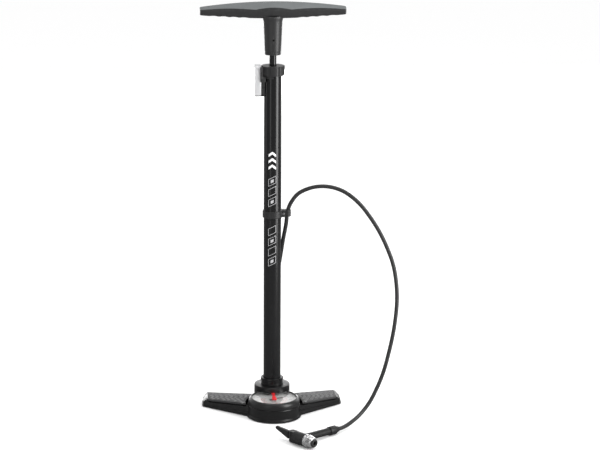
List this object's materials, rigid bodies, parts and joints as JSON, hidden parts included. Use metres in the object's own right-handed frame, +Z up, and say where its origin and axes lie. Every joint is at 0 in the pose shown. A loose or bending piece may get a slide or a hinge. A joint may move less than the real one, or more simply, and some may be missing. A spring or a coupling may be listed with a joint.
{
  "type": "floor bike pump",
  "caption": "Floor bike pump with a slim steel barrel, winged base, forward pressure gauge, T handle and a lever-lock pump head on a rubber hose.",
  "frame": {"origin": "on the floor at the middle of the foot under the barrel's axis", "axes": "+Z up along the barrel, -Y towards the gauge's side (front), +X to the right when facing the gauge"},
  "size_m": [0.3355, 0.2867, 0.7127],
  "materials": {
    "base_plastic": "satin",
    "tread": "textured",
    "foot_rubber": "matte",
    "screw_steel": "satin",
    "barrel_paint": "gloss",
    "rod_paint": "gloss",
    "brass": "satin",
    "valve_rubber": "matte",
    "spring_steel": "bright",
    "case_steel": "satin",
    "gauge_brass": "satin",
    "needle_black": "matte",
    "dial": "matte",
    "lens": "clear",
    "bezel": "satin",
    "marker_red": "gloss",
    "cap_plastic": "satin",
    "bush_plastic": "satin",
    "seal_rubber": "oiled",
    "handle_plastic": "satin",
    "handle_soft": "soft",
    "case_frost": "frosted",
    "nozzle_plastic": "satin",
    "hose_rubber": "satin",
    "ferrule_plastic": "satin",
    "head_plastic": "satin",
    "lever_plastic": "satin",
    "chrome": "polished"
  },
  "bodies": {
    "root": {"base_body": "base_plastic", "barrel_socket": "base_plastic", "barrel_lock_ring": "base_plastic", "left_tread_pad": "tread", "right_tread_pad": "tread", "rubber_feet": "foot_rubber", "barrel_gasket": "foot_rubber", "top_bumper": "foot_rubber", "base_screws": "screw_steel", "clip_screw": "screw_steel", "lever_pin": "screw_steel", "barrel": "barrel_paint", "check_valve_seat": "brass", "valve_plug": "brass", "gauge_nipple": "brass", "hose_barb": "brass", "valve_grommet": "valve_rubber", "check_valve_spring": "spring_steel", "gauge_case": "case_steel", "bourdon_tube": "gauge_brass", "gauge_movement": "gauge_brass", "gauge_dial": "dial", "gauge_lens": "lens", "gauge_bezel": "bezel", "barrel_cap": "cap_plastic", "hose_clip": "cap_plastic", "adapter_bracket": "cap_plastic", "rod_guide_bush": "bush_plastic", "head_plunger": "bush_plastic", "hose": "hose_rubber", "hose_ferrule": "ferrule_plastic", "head_collar": "ferrule_plastic", "head_body": "head_plastic", "head_stem": "head_plastic", "valve_cap": "chrome"},
    "valve_poppet": {"check_valve_poppet": "valve_rubber"},
    "needle": {"gauge_needle": "needle_black", "needle_pinion": "gauge_brass"},
    "sector": {"sector_gear": "gauge_brass"},
    "marker": {"pressure_marker": "marker_red"},
    "seal": {"piston_seal": "seal_rubber"},
    "plunger": {"piston_rod": "rod_paint", "piston_head": "bush_plastic", "piston_screw": "screw_steel", "handle_body": "handle_plastic", "handle_top_inlay": "handle_soft", "handle_pin": "screw_steel"},
    "case": {"adapter_case": "case_frost", "ball_needle": "screw_steel", "taper_nozzle": "nozzle_plastic"},
    "lid": {"case_lid": "case_frost"},
    "lever": {"head_lever": "lever_plastic"}
  },
  "joints": [
    {"name": "plunger_slide", "type": "slide", "parent": "root", "child": "seal", "axis": [0, 0, 1], "range_m": [0, 0.5]},
    {"name": "handle_swivel", "type": "hinge", "parent": "seal", "child": "plunger", "pos_m": [0, 0, 0.05], "axis": [0, 0, 1], "continuous": true},
    {"name": "valve_lift", "type": "slide", "parent": "root", "child": "valve_poppet", "axis": [0, 0, -1], "range_m": [0, 0.002], "stiffness_N_per_m": 200, "springref_m": -0.003, "deforming": ["check_valve_spring"]},
    {"name": "needle_turn", "type": "hinge", "parent": "root", "child": "needle", "pos_m": [0, -0.0525, 0.026], "axis": [0, 0, -1], "range_deg": [0, 240], "stiffness_Nm_per_rad": 0.0004, "springref_deg": -28.65},
    {"name": "sector_turn", "type": "hinge", "parent": "root", "child": "sector", "pos_m": [0, -0.0735, 0.0195], "axis": [0, 0, 1], "range_deg": [0, 40]},
    {"name": "marker_turn", "type": "hinge", "parent": "root", "child": "marker", "pos_m": [0, -0.0525, 0.0322], "axis": [0, 0, 1], "continuous": true},
    {"name": "case_lift", "type": "slide", "parent": "root", "child": "case", "axis": [0, 0, 1], "range_m": [0, 0.045]},
    {"name": "lid_hinge", "type": "hinge", "parent": "case", "child": "lid", "pos_m": [-0.0256, 0.0119, 0.6005], "axis": [-1, 0, 0], "range_deg": [0, 110]},
    {"name": "lever_lock", "type": "hinge", "parent": "root", "child": "lever", "pos_m": [0.02179, -0.19345, 0.0113], "axis": [0, 0, -1], "range_deg": [0, 90]}
  ],
  "couplings": [
    {"joint": "sector_turn", "follows": "needle_turn", "ratio": 0.16667}
  ]
}
